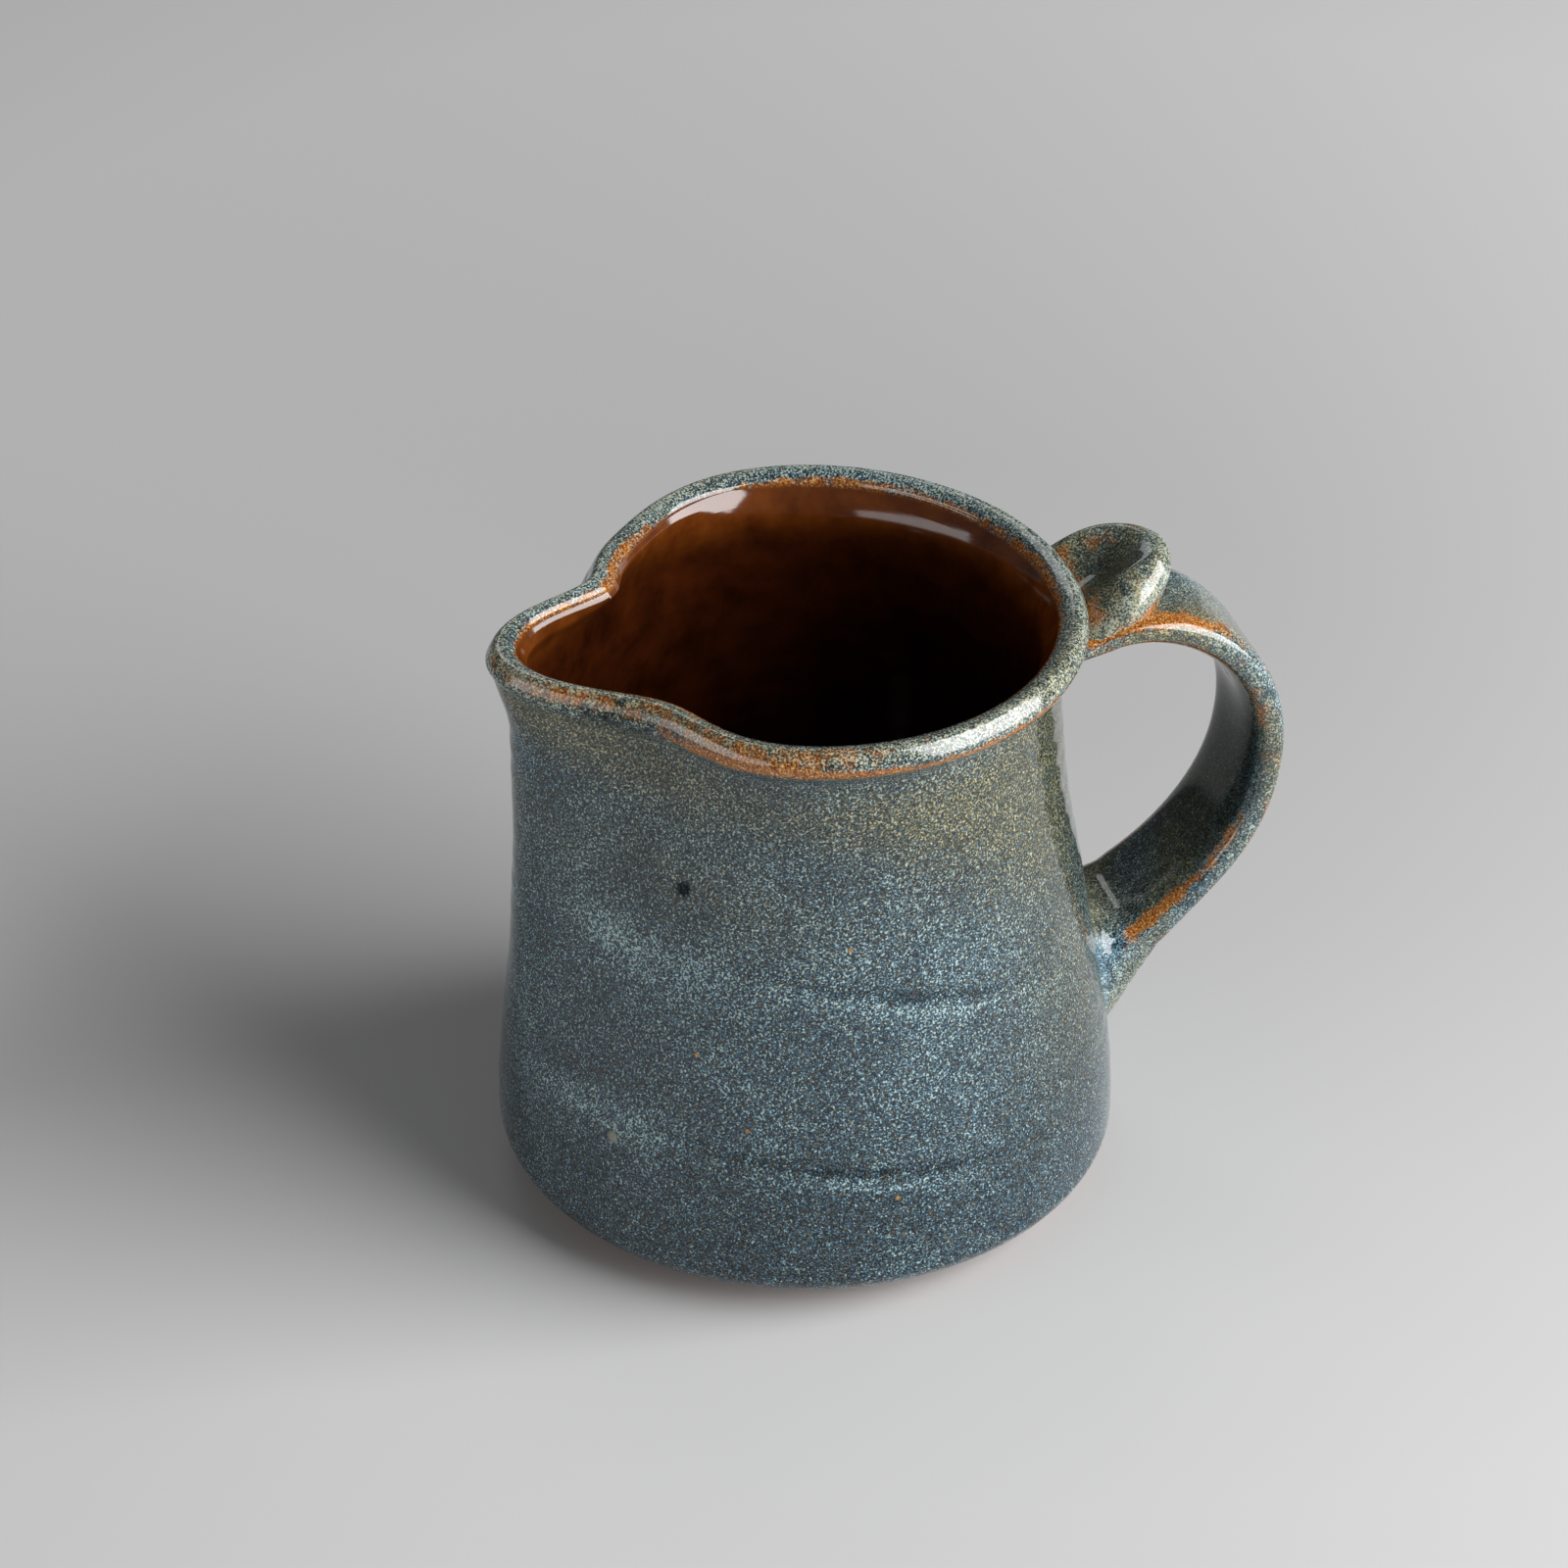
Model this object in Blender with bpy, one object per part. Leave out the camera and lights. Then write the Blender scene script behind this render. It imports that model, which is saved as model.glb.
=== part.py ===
"""Small hand-thrown stoneware pitcher with a pulled spout, a strap handle and a thumb rest.

Metres, +Z up. The origin is the centre of the foot on the table, +X points to the handle and
-X to the spout. Each piece of clay, each bed of slip and each coat of glaze is one object.
"""

import math

import bmesh
import bpy
from mathutils import Vector
from mathutils.geometry import interpolate_bezier

MM = 0.001

# Thrown body, bare clay
BODY_HEIGHT = 99.2 * MM
FOOT_RADIUS = 36.6 * MM
BELLY_RADIUS = 48.5 * MM
BELLY_HEIGHT = 8.4 * MM
HEEL_SWEEP = math.radians(46.6)
NECK_RADIUS = 37.6 * MM
NECK_DROP = 7.2 * MM
BELLY_LEAVE = 23.4 * MM
NECK_ARRIVE = 30.1 * MM
RIM_RADIUS = 39.6 * MM
FLARE_ANGLE = math.radians(35)
WALL = 3.4 * MM
FLOOR = 6.0 * MM
FLOOR_FILLET = 8.0 * MM
RIM_OVAL = 1.4 * MM

# Pulled spout and the two finger notches beside it, each as its turn from the spout, depth and spread
THROAT_RADIUS = 46.0 * MM
THROAT_EASE = 3.0 * MM
TIP_RADIUS = 52.2 * MM
TIP_DEPTH = 9.0 * MM
TIP_SPREAD = math.radians(14.7)
THROAT_SPREAD = math.radians(24)
NOTCH_DROP = 9.5 * MM
LEFT_NOTCH = (math.radians(-40), 8.4 * MM, math.radians(28))
RIGHT_NOTCH = (math.radians(39.4), 4.2 * MM, math.radians(15.2))

# Strap handle
STRAP_WIDTH = 21.0 * MM
STRAP_THICKNESS = 6.5 * MM
UPPER_THICKNESS = 4.6 * MM
LOWER_THICKNESS = 13.0 * MM
STRAP_GROOVE = 0.8 * MM
GRIP_REACH = 73.3 * MM
GRIP_BELOW_RIM = 32.2 * MM
UPPER_ROOT_BELOW_RIM = 13.2 * MM
LOWER_ROOT_HEIGHT = 28.6 * MM
UPPER_ROOT_SIZE = (21.5 * MM, 10.5 * MM)
LOWER_ROOT_SIZE = (23.5 * MM, 18.5 * MM)
UPPER_LEAVE = Vector((7.1 * MM, 0.0, 13.4 * MM))
LOWER_LEAVE = Vector((9.7 * MM, 0.0, 9.5 * MM))
GRIP_RISE = 23.1 * MM
GRIP_DROP = 20.9 * MM

# Thumb rest lying on the strap
THUMB_WIDTH = 20.0 * MM
THUMB_THICKNESS = 4.6 * MM
THUMB_DISH = 1.4 * MM
THUMB_REACH = 58.3 * MM
THUMB_LIFT = 0.8 * MM
THUMB_BED_LENGTH = 8.0 * MM

# Slip, glaze and seats
SLIP = 0.8 * MM
GLAZE = 0.5 * MM
SEAT_GAP = 0.3 * MM
GLAZE_LINE = 4.0 * MM
LIP_DIP = 4.0 * MM

# Mesh steps
SEGMENTS = 48
STRAP_RING = 20
STRAP_STEPS = 13
THUMB_STEPS = 9

SPOUT_ANGLE = math.pi
THROAT_FOOT = BELLY_HEIGHT
NECK_HEIGHT = BODY_HEIGHT - NECK_DROP
GRIP_HEIGHT = BODY_HEIGHT - GRIP_BELOW_RIM
UPPER_ROOT_HEIGHT = BODY_HEIGHT - UPPER_ROOT_BELOW_RIM


def clear_scene():
    for obj in list(bpy.data.objects):
        bpy.data.objects.remove(obj, do_unlink=True)


def make_material(name, colour, roughness):
    material = bpy.data.materials.new(name)
    material.use_nodes = True
    shader = material.node_tree.nodes["Principled BSDF"]
    shader.inputs["Base Color"].default_value = (*colour, 1.0)
    shader.inputs["Roughness"].default_value = roughness
    return material


def bezier(start, leave, arrive, end, steps):
    return [Vector(p) for p in interpolate_bezier(start, leave, arrive, end, steps)]


def offset_line(line, distance):
    """Moves each point of a turned line off the clay by the distance."""
    moved = []
    for i, point in enumerate(line):
        before = (point - line[max(i - 1, 0)]).normalized()
        after = (line[min(i + 1, len(line) - 1)] - point).normalized()
        along = (before + after).normalized()
        spread = max(along.dot(after if after.length else before), 0.5)
        moved.append(point + Vector((along.z, 0.0, -along.x)) * (distance / spread))
    for i in (0, -1):
        if line[i].x == 0.0:
            moved[i].x = 0.0
    return moved


def outer_line():
    """The outside of the thrown wall from the foot to the lip, as (radius, 0, height)."""
    rise = BELLY_HEIGHT / math.sin(HEEL_SWEEP)
    reach = (BELLY_RADIUS - FOOT_RADIUS) / (1 - math.cos(HEEL_SWEEP))
    line_turn = math.asin((BELLY_HEIGHT - GLAZE_LINE) / rise)
    heel = []
    for turn in (HEEL_SWEEP, line_turn, line_turn * 0.66, line_turn * 0.33):
        radius = BELLY_RADIUS - reach * (1 - math.cos(turn))
        heel.append(Vector((radius, 0.0, BELLY_HEIGHT - rise * math.sin(turn))))
    belly = Vector((BELLY_RADIUS, 0.0, BELLY_HEIGHT))
    neck = Vector((NECK_RADIUS, 0.0, NECK_HEIGHT))
    leave = belly + Vector((0, 0, BELLY_LEAVE))
    wall = bezier(belly, leave, neck - Vector((0, 0, NECK_ARRIVE)), neck, 8)
    centre = Vector((RIM_RADIUS, 0.0, BODY_HEIGHT - WALL / 2))
    up = Vector((math.sin(FLARE_ANGLE), 0.0, math.cos(FLARE_ANGLE)))
    out = Vector((up.z, 0.0, -up.x))
    lip = centre + out * (WALL / 2)
    flare = (lip - neck).length / 3
    top = bezier(neck, neck + Vector((0, 0, flare)), lip - up * flare, lip, 5)
    return heel + wall + top[1:]


def lip_line():
    """The half round of the lip, from its outer to its inner side."""
    centre = Vector((RIM_RADIUS, 0.0, BODY_HEIGHT - WALL / 2))
    points = []
    for step in range(1, 5):
        turn = math.pi * step / 5 - FLARE_ANGLE
        points.append(centre + Vector((math.cos(turn), 0.0, math.sin(turn))) * (WALL / 2))
    return points


def split_line(line, length):
    """Two parts of a line, with a point added at the given length from its start."""
    for i in range(1, len(line)):
        piece = (line[i] - line[i - 1]).length
        if piece > length:
            cut = line[i - 1].lerp(line[i], length / piece)
            return line[:i] + [cut], [cut] + line[i:]
        length -= piece
    return line, []


def height_on(line, height):
    """The radius of a line that rises or falls steadily, at a height."""
    for low, high in zip(line, line[1:]):
        if low.z <= height <= high.z:
            return low.lerp(high, (height - low.z) / max(high.z - low.z, 1e-9)).x
    return line[-1].x if height > line[-1].z else line[0].x


OUTSIDE = outer_line()


def inner_line():
    """The inside of the thrown wall from the lip down to the middle of the floor."""
    inside = offset_line(OUTSIDE, -WALL)
    start = FLOOR + FLOOR_FILLET
    radius = height_on(inside, start)
    line = [p for p in reversed(inside) if p.z > start + 2 * MM]
    for step in range(5):
        turn = math.pi / 2 * step / 4
        drop = Vector((math.cos(turn) - 1, 0.0, 1 - math.sin(turn))) * FLOOR_FILLET
        line.append(Vector((radius, 0.0, FLOOR)) + drop)
    line.append(Vector((0.0, 0.0, FLOOR)))
    return line


def spout_pull(angle, height):
    """How far the potter's fingers moved the wall outwards at this place."""
    away = math.remainder(angle - SPOUT_ANGLE, math.tau)
    height = min(height, BODY_HEIGHT - WALL / 2)
    climb = max(height - THROAT_FOOT, 0.0) / (BODY_HEIGHT - THROAT_FOOT)
    tip = max(height - BODY_HEIGHT + TIP_DEPTH, 0.0) / TIP_DEPTH
    throat = THROAT_RADIUS + (TIP_RADIUS - THROAT_RADIUS) * tip ** 1.5
    short = throat - height_on(OUTSIDE, height)
    soft = (short + math.hypot(short, THROAT_EASE)) / 2 * min(climb * 4, 1.0)
    spread = THROAT_SPREAD + (TIP_SPREAD - THROAT_SPREAD) * climb
    pull = soft * math.exp(-((away / spread) ** 2))
    fade = math.exp(-(((BODY_HEIGHT - height) / NOTCH_DROP) ** 2))
    for turn, depth, width in (LEFT_NOTCH, RIGHT_NOTCH):
        pull -= depth * fade * math.exp(-(((away - turn) / width) ** 2))
    return pull + RIM_OVAL * math.sin(away) ** 2 * climb ** 4


def turn_ring(bm, point):
    """A ring of vertices for one point of a turned line, or one vertex on the axis."""
    if point.x == 0.0:
        return [bm.verts.new(point)]
    ring = []
    for step in range(SEGMENTS):
        angle = math.tau * step / SEGMENTS
        radius = point.x + spout_pull(angle, point.z)
        ring.append(bm.verts.new((radius * math.cos(angle), radius * math.sin(angle), point.z)))
    return ring


def skin(bm, rings):
    """Faces between each ring and the next, with a fan where one of them is a single vertex."""
    for first, second in zip(rings, rings[1:]):
        count = max(len(first), len(second))
        for i in range(count if len(first) != len(second) or count > 1 else 0):
            j = (i + 1) % count
            corners = [first[i % len(first)], first[j % len(first)]]
            corners += [second[j % len(second)], second[i % len(second)]]
            bm.faces.new(dict.fromkeys(corners))


def finish(bm, name, material):
    bmesh.ops.recalc_face_normals(bm, faces=bm.faces)
    mesh = bpy.data.meshes.new(name)
    bm.to_mesh(mesh)
    bm.free()
    mesh.materials.append(material)
    mesh.shade_smooth()
    obj = bpy.data.objects.new(name, mesh)
    bpy.context.scene.collection.objects.link(obj)
    return obj


def turn_solid(name, line, material, joined=False):
    """A solid turned from a line whose ends lie on the axis, or from a joined outline."""
    bm = bmesh.new()
    rings = [turn_ring(bm, point) for point in line]
    skin(bm, rings + rings[:1] if joined else rings)
    return finish(bm, name, material)


def coat(name, line, first, last, material):
    """A coat of glaze over the points first to last of the clay's line."""
    under = offset_line(line, SEAT_GAP)[first:last]
    over = offset_line(line, SEAT_GAP + GLAZE)[first:last]
    return turn_solid(name, under + over[::-1], material, joined=True)


def wall_point(y, z, clearance):
    """The point on the handle side that stands off the clay wall by the clearance."""
    radius = height_on(OUTSIDE, z)
    angle = math.asin(y / radius)
    radius += spout_pull(angle, z) + clearance
    return Vector((radius * math.cos(angle), radius * math.sin(angle), z))


def strap_outline(width, thickness, groove=0.0):
    """Points (across, up) round a strap with round edges and a groove in its upper face."""
    outline = []
    for step in range(STRAP_RING):
        turn = math.tau * step / STRAP_RING
        across = math.copysign(abs(math.cos(turn)) ** 0.6, math.cos(turn))
        up = math.copysign(abs(math.sin(turn)) ** 0.75, math.sin(turn))
        dip = groove * max(up, 0.0) * (1 - across ** 2)
        outline.append((across * width / 2, up * thickness / 2 - dip))
    return outline


def wall_cap(bm, outline, height, clearance):
    """Rings that close an outline on the wall, from its edge to its middle."""
    rings = []
    for part in (1.0, 0.7, 0.35):
        ring = [wall_point(y * part, height + z * part, clearance) for y, z in outline]
        rings.append([bm.verts.new(point) for point in ring])
    return rings + [[bm.verts.new(wall_point(0.0, height, clearance))]]


def wall_pad(name, size, height, near, far, material, grow=0.0):
    """A pad that follows the wall between two clearances."""
    bm = bmesh.new()
    outline = strap_outline(size[0] + 2 * grow, size[1] + 2 * grow)
    inner = wall_cap(bm, outline, height, near)
    outer = wall_cap(bm, outline, height, far)
    skin(bm, inner[::-1] + outer)
    return finish(bm, name, material)


def strap_path():
    """The middle line of the strap, from its upper to its lower root."""
    upper = wall_point(0.0, UPPER_ROOT_HEIGHT, 0.0)
    lower = wall_point(0.0, LOWER_ROOT_HEIGHT, 0.0)
    grip = Vector((GRIP_REACH, 0.0, GRIP_HEIGHT))
    over = bezier(upper, upper + UPPER_LEAVE, grip + Vector((0, 0, GRIP_RISE)), grip, STRAP_STEPS)
    under = bezier(grip, grip - Vector((0, 0, GRIP_DROP)), lower + LOWER_LEAVE, lower, STRAP_STEPS)
    return over + under[1:]


def strap_frames():
    """Each point of the strap's path, the direction of its upper face, its spread and thickness."""
    path = strap_path()
    last = len(path) - 1
    frames = []
    for i, point in enumerate(path):
        along = path[min(i + 1, last)] - path[max(i - 1, 0)]
        along.normalize()
        top = max(0.0, 1 - i / 9) ** 2
        flare = max(0.0, 1 - (last - i) / 6) ** 2
        thickness = STRAP_THICKNESS + (UPPER_THICKNESS - STRAP_THICKNESS) * top
        thickness += (LOWER_THICKNESS - STRAP_THICKNESS) * flare
        frames.append((point, Vector((-along.z, 0.0, along.x)), flare, thickness))
    return frames


def path_ring(bm, point, up, outline):
    return [bm.verts.new(point + Vector((0.0, y, 0.0)) + up * z) for y, z in outline]


def handle_strap(material):
    bm = bmesh.new()
    seat = 2 * SEAT_GAP + SLIP
    upper = wall_cap(bm, strap_outline(*UPPER_ROOT_SIZE), UPPER_ROOT_HEIGHT, seat)
    tail = [(y, -z) for y, z in strap_outline(*LOWER_ROOT_SIZE)]
    lower = wall_cap(bm, tail, LOWER_ROOT_HEIGHT, seat)
    rings = []
    for point, up, flare, thickness in strap_frames()[2:-2]:
        width = STRAP_WIDTH + (LOWER_ROOT_SIZE[0] - STRAP_WIDTH) * flare
        outline = strap_outline(width, thickness, STRAP_GROOVE * (1 - flare))
        rings.append(path_ring(bm, point, up, outline))
    skin(bm, upper[::-1] + rings + lower)
    return finish(bm, "handle_strap", material)


def thumb_frames(seat):
    """Places one seat above the strap's upper face, from beside the lip out to the end."""
    start = RIM_RADIUS + WALL / 2 + GLAZE + 4 * SEAT_GAP + THUMB_THICKNESS / 4
    raised = [(point + up * (thick / 2 + seat), up) for point, up, _, thick in strap_frames()]
    frames = []
    for step in range(THUMB_STEPS):
        x = start + (THUMB_REACH - start) * step / (THUMB_STEPS - 1)
        for (low, up), (high, next_up) in zip(raised, raised[1:]):
            if low.x <= x < high.x:
                part = (x - low.x) / (high.x - low.x)
                frames.append((low.lerp(high, part), up.lerp(next_up, part).normalized()))
                break
    return frames


def thumb_rest(material):
    """A tongue that starts at the lip, lies on the strap and lifts to a dished, rounded end."""
    bm = bmesh.new()
    frames = thumb_frames(SLIP + 2 * SEAT_GAP + THUMB_THICKNESS / 2)
    root = frames[0][0].z - frames[0][1].z * THUMB_THICKNESS / 8
    outline = strap_outline(THUMB_WIDTH, THUMB_THICKNESS * 0.8)
    rings = wall_cap(bm, outline, root, GLAZE + 3 * SEAT_GAP)[::-1]
    for i, (point, up) in enumerate(frames):
        part = i / (len(frames) - 1)
        end = math.sqrt(max(1 - part ** 4, 0.06))
        outline = strap_outline(THUMB_WIDTH * end, THUMB_THICKNESS * end, THUMB_DISH * part * end)
        rings.append(path_ring(bm, point + up * (THUMB_LIFT * part ** 2), up, outline))
    bm.faces.new(rings[-1])
    skin(bm, rings)
    return finish(bm, "thumb_rest", material)


def thumb_slip_bed(material):
    """The thin bed of slip between the strap and the root of the thumb rest."""
    bm = bmesh.new()
    frames = thumb_frames(SEAT_GAP + SLIP / 2)
    end = frames[0][0].x + THUMB_BED_LENGTH
    rings = []
    for point, up in frames[:2] + [frame for frame in frames[2:] if frame[0].x < end]:
        corners = ((-1, -1), (1, -1), (1, 1), (-1, 1))
        outline = [(THUMB_WIDTH * 0.3 * y, SLIP / 2 * z) for y, z in corners]
        rings.append(path_ring(bm, point, up, outline))
    for ring in (rings[0], rings[-1]):
        bm.faces.new(ring)
    skin(bm, rings)
    return finish(bm, "thumb_slip_bed", material)


def cut_window(obj, size, height, material):
    """Leaves bare clay in a coat where a root of the strap is joined on."""
    near, far = -2 * MM, 6 * MM
    cutter = wall_pad(obj.name + "_window", size, height, near, far, material, grow=SEAT_GAP * 2)
    cutter.hide_render = True
    cutter.display_type = "WIRE"
    modifier = obj.modifiers.new("window", "BOOLEAN")
    modifier.operation = "DIFFERENCE"
    modifier.solver = "EXACT"
    modifier.object = cutter


def build():
    clear_scene()
    clay = make_material("stoneware_clay", (0.16, 0.07, 0.035), 0.85)
    slip = make_material("clay_slip", (0.20, 0.09, 0.05), 0.9)
    blue = make_material("speckled_blue_glaze", (0.11, 0.15, 0.22), 0.25)
    amber = make_material("amber_liner_glaze", (0.22, 0.07, 0.015), 0.15)
    outside = [Vector((0.0, 0.0, 0.0))] + OUTSIDE
    inside = inner_line()
    dipped, inside = split_line(inside, LIP_DIP)
    step, inside = split_line(inside, SEAT_GAP)
    rim = outside + lip_line() + dipped
    line = rim + step[1:] + inside[1:]
    turn_solid("thrown_body", line, clay)
    glaze = coat("outer_glaze", line, 2, len(rim), blue)
    coat("liner_glaze", line, len(rim), len(line), amber)
    for size, height in ((UPPER_ROOT_SIZE, UPPER_ROOT_HEIGHT), (LOWER_ROOT_SIZE, LOWER_ROOT_HEIGHT)):
        cut_window(glaze, size, height, blue)
    near, far = SEAT_GAP, SEAT_GAP + SLIP
    wall_pad("upper_slip_bed", UPPER_ROOT_SIZE, UPPER_ROOT_HEIGHT, near, far, slip)
    wall_pad("lower_slip_bed", LOWER_ROOT_SIZE, LOWER_ROOT_HEIGHT, near, far, slip)
    handle_strap(blue)
    thumb_rest(blue)
    thumb_slip_bed(slip)


build()
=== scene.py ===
"""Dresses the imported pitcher: a small hand-thrown stoneware jug in speckled blue glaze.

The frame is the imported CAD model: metres, +Z up, the origin at the centre of the foot, +X towards
the handle and -X towards the spout. The glazed wall, the amber liner, the bare clay, the strap and
the thumb rest are worked out as numpy surfaces from the sizes in the classes below.
"""

from __future__ import annotations

import logging
import math
from dataclasses import dataclass, field
from enum import Enum

import bpy
import numpy as np
from mathutils import Matrix, Vector

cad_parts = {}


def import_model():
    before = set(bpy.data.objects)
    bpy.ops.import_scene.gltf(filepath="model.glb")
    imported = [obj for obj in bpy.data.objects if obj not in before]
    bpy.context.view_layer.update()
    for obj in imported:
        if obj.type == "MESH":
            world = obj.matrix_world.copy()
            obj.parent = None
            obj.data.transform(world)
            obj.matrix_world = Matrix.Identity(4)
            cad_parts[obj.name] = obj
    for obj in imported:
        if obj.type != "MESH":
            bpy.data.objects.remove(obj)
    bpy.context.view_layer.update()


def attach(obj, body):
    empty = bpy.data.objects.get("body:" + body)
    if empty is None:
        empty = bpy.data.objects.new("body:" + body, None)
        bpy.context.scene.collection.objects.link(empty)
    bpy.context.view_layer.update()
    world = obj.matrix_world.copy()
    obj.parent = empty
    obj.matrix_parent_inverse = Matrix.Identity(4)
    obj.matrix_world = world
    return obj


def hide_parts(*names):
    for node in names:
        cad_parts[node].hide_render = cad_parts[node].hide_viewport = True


LOG = logging.getLogger("pitcher")
MM = 0.001
BODY = "root"
SHARP_ANGLE = math.radians(50)
POLE_SHARE = 0.02
WAVE_TURNS = (1, 6)
WAVE_CLIMB = (0.5, 4.0)

Array = np.ndarray
Colour = tuple[float, float, float, float]
Place = tuple[float, float, float]
Socket = bpy.types.NodeSocket
Stops = tuple[tuple[float, str], ...]


class Slot(Enum):
    """The record's material slots."""

    CLAY = "stoneware_clay"
    BLUE = "blue_glaze"
    AMBER = "amber_glaze"
    HANDLE = "glazed_handle"


# Curves and grids


def bezier(points: list[tuple[float, float]], count: int) -> Array:
    """Samples one cubic Bezier curve.

    Args:
        points: Start, its handle, the end's handle and the end, as (radius, height).
        count: Number of samples, ends included.

    Returns:
        Array of (count, 2), the sum of the four points by the Bernstein weights.
    """
    t = np.linspace(0.0, 1.0, count)[:, None]
    weights = ((1 - t) ** 3, 3 * t * (1 - t) ** 2, 3 * t**2 * (1 - t), t**3)
    return sum(w * np.array(p) for w, p in zip(weights, points))


def line_normals(line: Array) -> Array:
    """Finds the unit normals to the right of a line.

    Args:
        line: (radius, height) points.

    Returns:
        One normal for each point.
    """
    along = np.gradient(line, axis=0)
    along /= np.linalg.norm(along, axis=1, keepdims=True)
    return np.stack([along[:, 1], -along[:, 0]], axis=1)


def smooth_step(low: float, high: float, value: Array) -> Array:
    """Zero at low, one at high and a cubic ease between them. It falls if low is the larger."""
    t = np.clip((value - low) / (high - low), 0.0, 1.0)
    return t * t * (3 - 2 * t)


def bell(away: Array, spread: float) -> Array:
    """One in the middle, and about a third at the spread."""
    return np.exp(-((away / spread) ** 2))


def round_angles(count: int) -> Array:
    """Angles once round in even steps, as one row."""
    return np.linspace(0.0, math.tau, count, endpoint=False)[None, :]


def through_rings(rings: Array, between: int) -> Array:
    """Carries a smooth surface through a stack of rings by Catmull-Rom steps.

    Args:
        rings: Ring points as (rings, points, 3).
        between: New rings for each gap.

    Returns:
        Array of (more rings, points, 3) that passes through every given ring.
    """
    padded = np.concatenate([rings[:1], rings, rings[-1:]])
    t = (np.arange(between) / between)[None, :, None, None]
    a, b, c, d = (padded[i : len(padded) - 3 + i, None] for i in range(4))
    curve = b + 0.5 * t * (c - a + t * (2 * a - 5 * b + 4 * c - d + t * (3 * (b - c) + d - a)))
    return np.concatenate([curve.reshape(-1, *rings.shape[1:]), rings[-1:]])


def wave_noise(u: Array, v: Array, seed: int, waves: int = 7) -> Array:
    """A smooth unevenness between about -1 and 1: a sum of sines that wraps round in u.

    Args:
        u: Angles in radians.
        v: A second coordinate, in radians too.
        seed: Picks the set of waves.
        waves: How many are added.

    Returns:
        Array in the shape that u and v broadcast to.
    """
    rng = np.random.default_rng(seed)
    total = np.zeros(np.broadcast(u, v).shape)
    for _ in range(waves):
        turns = rng.integers(*WAVE_TURNS)
        total = total + np.sin(turns * u + rng.uniform(*WAVE_CLIMB) * v + rng.uniform(0, math.tau))
    return total / math.sqrt(waves)


def new_object(name: str, data: bpy.types.ID) -> bpy.types.Object:
    """Puts a mesh, a light or a camera into the scene.

    Args:
        name: The object's name.
        data: What it shows.

    Returns:
        The object, at the origin.
    """
    obj = bpy.data.objects.new(name, data)
    bpy.context.scene.collection.objects.link(obj)
    return obj


def ring_mesh(name: str, points: Array, joined: bool, marks: dict[str, Array]) -> bpy.types.Object:
    """Makes one closed mesh from rows of rings.

    Args:
        name: The piece's name.
        points: Ring points as (rows, columns, 3). Columns wrap round.
        joined: True if the last row joins the first. Otherwise both ends close in a pole.
        marks: Values for the material, each as (rows, columns).

    Returns:
        The object, at the origin, with its faces pointing outwards.
    """
    rows, columns = points.shape[:2]
    grid = np.arange(rows * columns).reshape(rows, columns)
    grid = np.concatenate([grid, grid[:, :1]], axis=1)
    if joined:
        grid = np.concatenate([grid, grid[:1]], axis=0)
    quads = np.stack([grid[:-1, :-1], grid[:-1, 1:], grid[1:, 1:], grid[1:, :-1]], axis=-1)
    quads = quads.reshape(-1, 4)
    flat = points.reshape(-1, 3)
    values = {key: mark.reshape(-1) for key, mark in marks.items()}
    fans = np.empty((0, 3), int)
    if not joined:
        ends = np.stack([points[0].mean(axis=0), points[-1].mean(axis=0)])
        first, last = grid[0], grid[-1]
        poles = np.full(columns, rows * columns)
        fans = np.concatenate(
            [
                np.stack([first[1:], first[:-1], poles], axis=1),
                np.stack([last[:-1], last[1:], poles + 1], axis=1),
            ]
        )
        flat = np.concatenate([flat, ends])
        for key, mark in marks.items():
            values[key] = np.concatenate([values[key], [mark[0].mean(), mark[-1].mean()]])
    corners = np.concatenate([quads[:, :3], quads[:, [0, 2, 3]], fans])
    volume = np.linalg.det(flat[corners]).sum()
    if volume < 0:
        quads, fans = quads[:, ::-1], fans[:, ::-1]
    mesh = bpy.data.meshes.new(name)
    mesh.from_pydata(flat.tolist(), [], quads.tolist() + fans.tolist())
    for key, value in values.items():
        layer = mesh.attributes.new(key, "FLOAT", "POINT")
        layer.data.foreach_set("value", value.astype(np.float32))
    mesh.shade_smooth()
    mesh.set_sharp_from_angle(angle=SHARP_ANGLE)
    mesh.update()
    return new_object(name, mesh)


def seat_piece(obj: bpy.types.Object, nodes: list[str], finish: bpy.types.Material) -> None:
    """Dresses a piece, rides it on the body and lets it stand for its CAD nodes.

    Args:
        obj: The new piece.
        nodes: The CAD nodes that it replaces.
        finish: Its material.
    """
    obj.data.materials.append(finish)
    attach(obj, BODY)
    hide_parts(*nodes)
    LOG.info("%s: %d faces, stands for %s", obj.name, len(obj.data.polygons), ", ".join(nodes))


# Finishes

BLUE_STOPS = (
    (0.30, "#020a14"),
    (0.44, "#07202f"),
    (0.55, "#14384e"),
    (0.64, "#416d80"),
    (0.77, "#a6c3c5"),
)
OLIVE_STOPS = (
    (0.28, "#171a14"),
    (0.42, "#2c3026"),
    (0.53, "#454837"),
    (0.63, "#726f50"),
    (0.75, "#b3aa88"),
)
RUST_STOPS = ((0.30, "#3f1c08"), (0.46, "#84481a"), (0.60, "#b07a38"), (0.74, "#dcc394"))
BROWN_STOPS = ((0.30, "#421c07"), (0.70, "#66340f"))
LINER_DEEP_STOPS = ((0.30, "#210b03"), (0.70, "#3b1806"))
LINER_THIN_STOPS = ((0.30, "#4a2008"), (0.70, "#703a10"))
CLAY_STOPS = ((0.30, "#4a2c1d"), (0.55, "#744a33"), (0.75, "#96684a"))
# Painted shade on the floor: darker round a place behind the pot, lighter away from it.
FLOOR_SHADE_STOPS = ((0.0, "#b4b4b4"), (1.0, "#cacaca"))


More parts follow.
